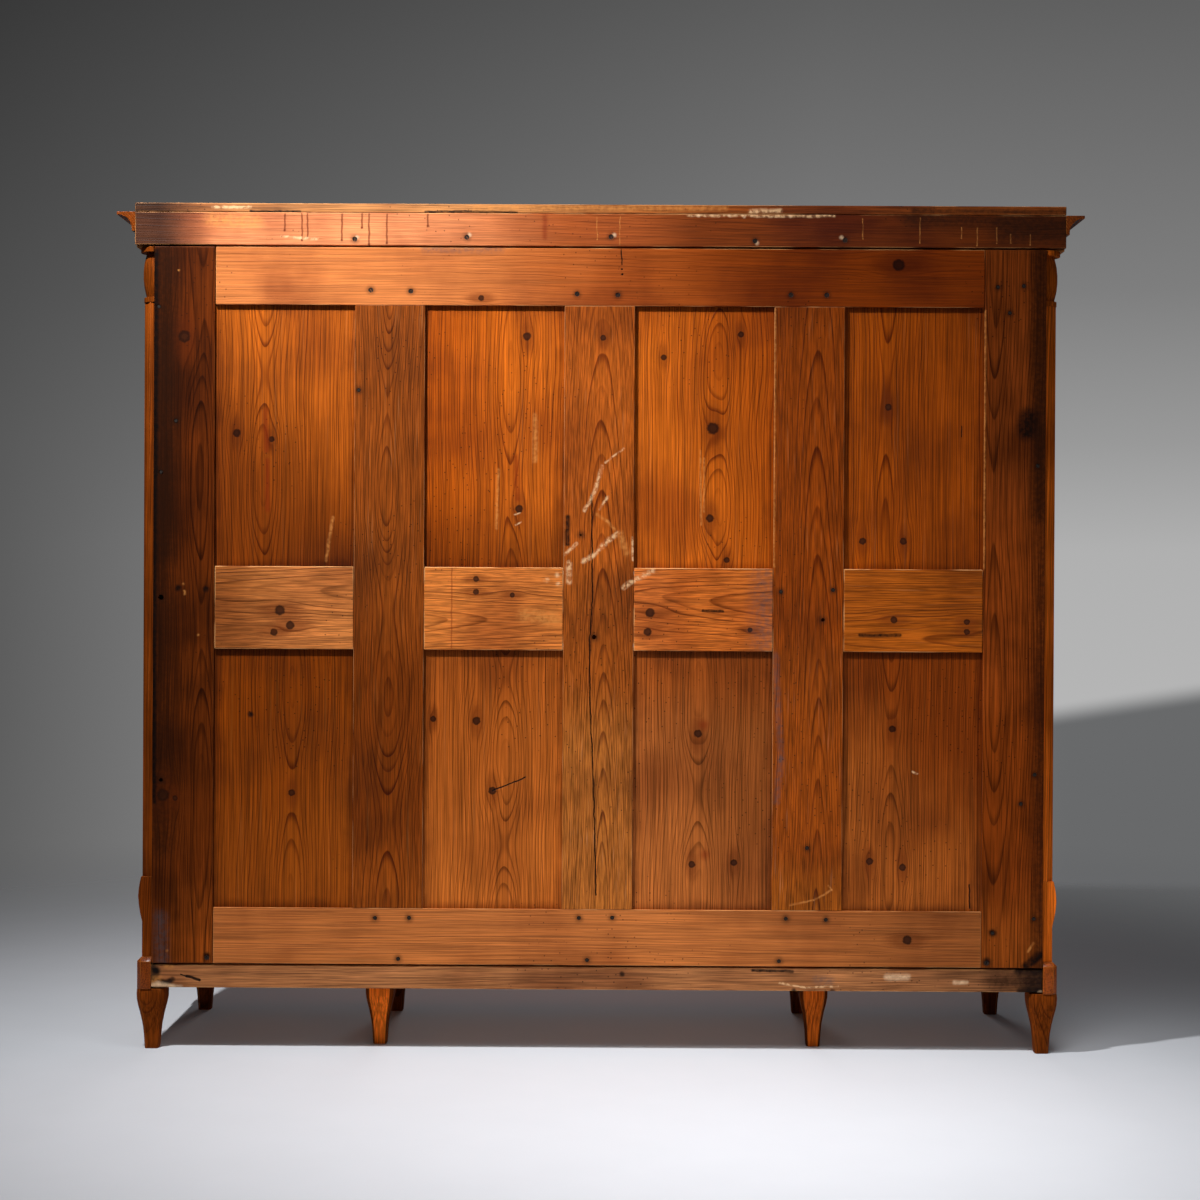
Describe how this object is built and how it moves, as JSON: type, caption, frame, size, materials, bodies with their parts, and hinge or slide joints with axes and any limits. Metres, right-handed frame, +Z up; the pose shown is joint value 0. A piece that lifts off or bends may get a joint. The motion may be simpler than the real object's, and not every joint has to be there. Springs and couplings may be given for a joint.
{
  "type": "display cabinet",
  "caption": "Wide free-standing display cabinet with glazed locking doors, shelves, half columns, cornice, club feet and a frame-and-panel pine back",
  "frame": {"origin": "on the floor, under the centre of the cabinet's box", "axes": "+X along the width, -Y towards the doors, +Y towards the back, +Z up"},
  "size_m": [2.322, 0.589, 2.037],
  "materials": {
    "old_pine": "aged, unpolished, oiled by time",
    "polished_wood": "shellac polish over stained veneer",
    "glass": "old drawn sheet glass",
    "brass": "dulled brass",
    "iron": "dark worn iron"
  },
  "bodies": {
    "carcass": {"back_mid_rails": "old_pine", "back_muntins": "old_pine", "back_panels": "old_pine", "back_rails": "old_pine", "back_stiles": "old_pine", "ceiling_board": "old_pine", "column_capitals": "polished_wood", "column_consoles": "polished_wood", "column_shafts": "polished_wood", "cornice_base": "old_pine", "cornice_frieze": "polished_wood", "cornice_mouldings": "polished_wood", "cornice_rear_board": "old_pine", "door_stops": "old_pine", "dust_board": "old_pine", "feet_front": "polished_wood", "feet_rear": "polished_wood", "floor_board": "old_pine", "front_posts": "polished_wood", "hinge_pins": "brass", "partitions": "old_pine", "plinth_bearers": "old_pine", "plinth_blocks": "polished_wood", "plinth_rails": "polished_wood", "plinth_rear_rail": "old_pine", "post_leaves": "brass", "shelf_bearers": "old_pine", "shelves": "old_pine", "side_panels": "polished_wood", "side_posts": "polished_wood", "side_rails": "polished_wood", "strike_plates": "brass"},
    "door_left": {"door_frame_left": "polished_wood", "door_panel_left": "polished_wood", "door_glass_left": "glass", "door_leaves_left": "brass", "lock_left": "brass"},
    "key_left": {"key_left": "iron"},
    "lock_bolt_left": {"lock_bolt_left": "brass"},
    "door_centre_left": {"door_frame_centre_left": "polished_wood", "door_panel_centre_left": "polished_wood", "door_glass_centre_left": "glass", "door_leaves_centre_left": "brass", "bolt_guides": "iron"},
    "slide_bolt_top": {"slide_bolt_top": "iron"},
    "slide_bolt_bottom": {"slide_bolt_bottom": "iron"},
    "door_centre_right": {"door_frame_centre_right": "polished_wood", "door_panel_centre_right": "polished_wood", "door_glass_centre_right": "glass", "door_leaves_centre_right": "brass", "lock_centre_right": "brass"},
    "key_centre_right": {"key_centre_right": "iron"},
    "lock_bolt_centre_right": {"lock_bolt_centre_right": "brass"},
    "door_right": {"door_frame_right": "polished_wood", "door_panel_right": "polished_wood", "door_glass_right": "glass", "door_leaves_right": "brass", "lock_right": "brass"},
    "key_right": {"key_right": "iron"},
    "lock_bolt_right": {"lock_bolt_right": "brass"}
  },
  "joints": [
    {"name": "door_left_hinge", "type": "hinge", "parent": "carcass", "child": "door_left", "pos_m": [-0.9945, -0.211, 1.071], "axis": [0, 0, -1], "range_deg": [0, 95]},
    {"name": "key_left_turn", "type": "hinge", "parent": "door_left", "child": "key_left", "pos_m": [-0.597, -0.2055, 1.022], "axis": [0, 1, 0], "range_deg": [0, 90]},
    {"name": "lock_bolt_left_slide", "type": "slide", "parent": "door_left", "child": "lock_bolt_left", "axis": [1, 0, 0], "range_m": [0, 0.009]},
    {"name": "door_centre_left_hinge", "type": "hinge", "parent": "carcass", "child": "door_centre_left", "pos_m": [-0.4895, -0.211, 1.071], "axis": [0, 0, -1], "range_deg": [0, 95]},
    {"name": "slide_bolt_top_slide", "type": "slide", "parent": "door_centre_left", "child": "slide_bolt_top", "axis": [0, 0, 1], "range_m": [0, 0.018]},
    {"name": "slide_bolt_bottom_slide", "type": "slide", "parent": "door_centre_left", "child": "slide_bolt_bottom", "axis": [0, 0, -1], "range_m": [0, 0.018]},
    {"name": "door_centre_right_hinge", "type": "hinge", "parent": "carcass", "child": "door_centre_right", "pos_m": [0.4895, -0.211, 1.071], "axis": [0, 0, 1], "range_deg": [0, 95]},
    {"name": "key_centre_right_turn", "type": "hinge", "parent": "door_centre_right", "child": "key_centre_right", "pos_m": [0.0295, -0.2055, 1.022], "axis": [0, 1, 0], "range_deg": [0, 90]},
    {"name": "lock_bolt_centre_right_slide", "type": "slide", "parent": "door_centre_right", "child": "lock_bolt_centre_right", "axis": [-1, 0, 0], "range_m": [0, 0.009]},
    {"name": "door_right_hinge", "type": "hinge", "parent": "carcass", "child": "door_right", "pos_m": [0.9945, -0.211, 1.071], "axis": [0, 0, 1], "range_deg": [0, 95]},
    {"name": "key_right_turn", "type": "hinge", "parent": "door_right", "child": "key_right", "pos_m": [0.597, -0.2055, 1.022], "axis": [0, 1, 0], "range_deg": [0, 90]},
    {"name": "lock_bolt_right_slide", "type": "slide", "parent": "door_right", "child": "lock_bolt_right", "axis": [-1, 0, 0], "range_m": [0, 0.009]}
  ],
  "couplings": [
    {"joint": "key_left_turn", "follows": "lock_bolt_left_slide", "rad_per_m": 174.53},
    {"joint": "key_centre_right_turn", "follows": "lock_bolt_centre_right_slide", "rad_per_m": 174.53},
    {"joint": "key_right_turn", "follows": "lock_bolt_right_slide", "rad_per_m": 174.53}
  ]
}
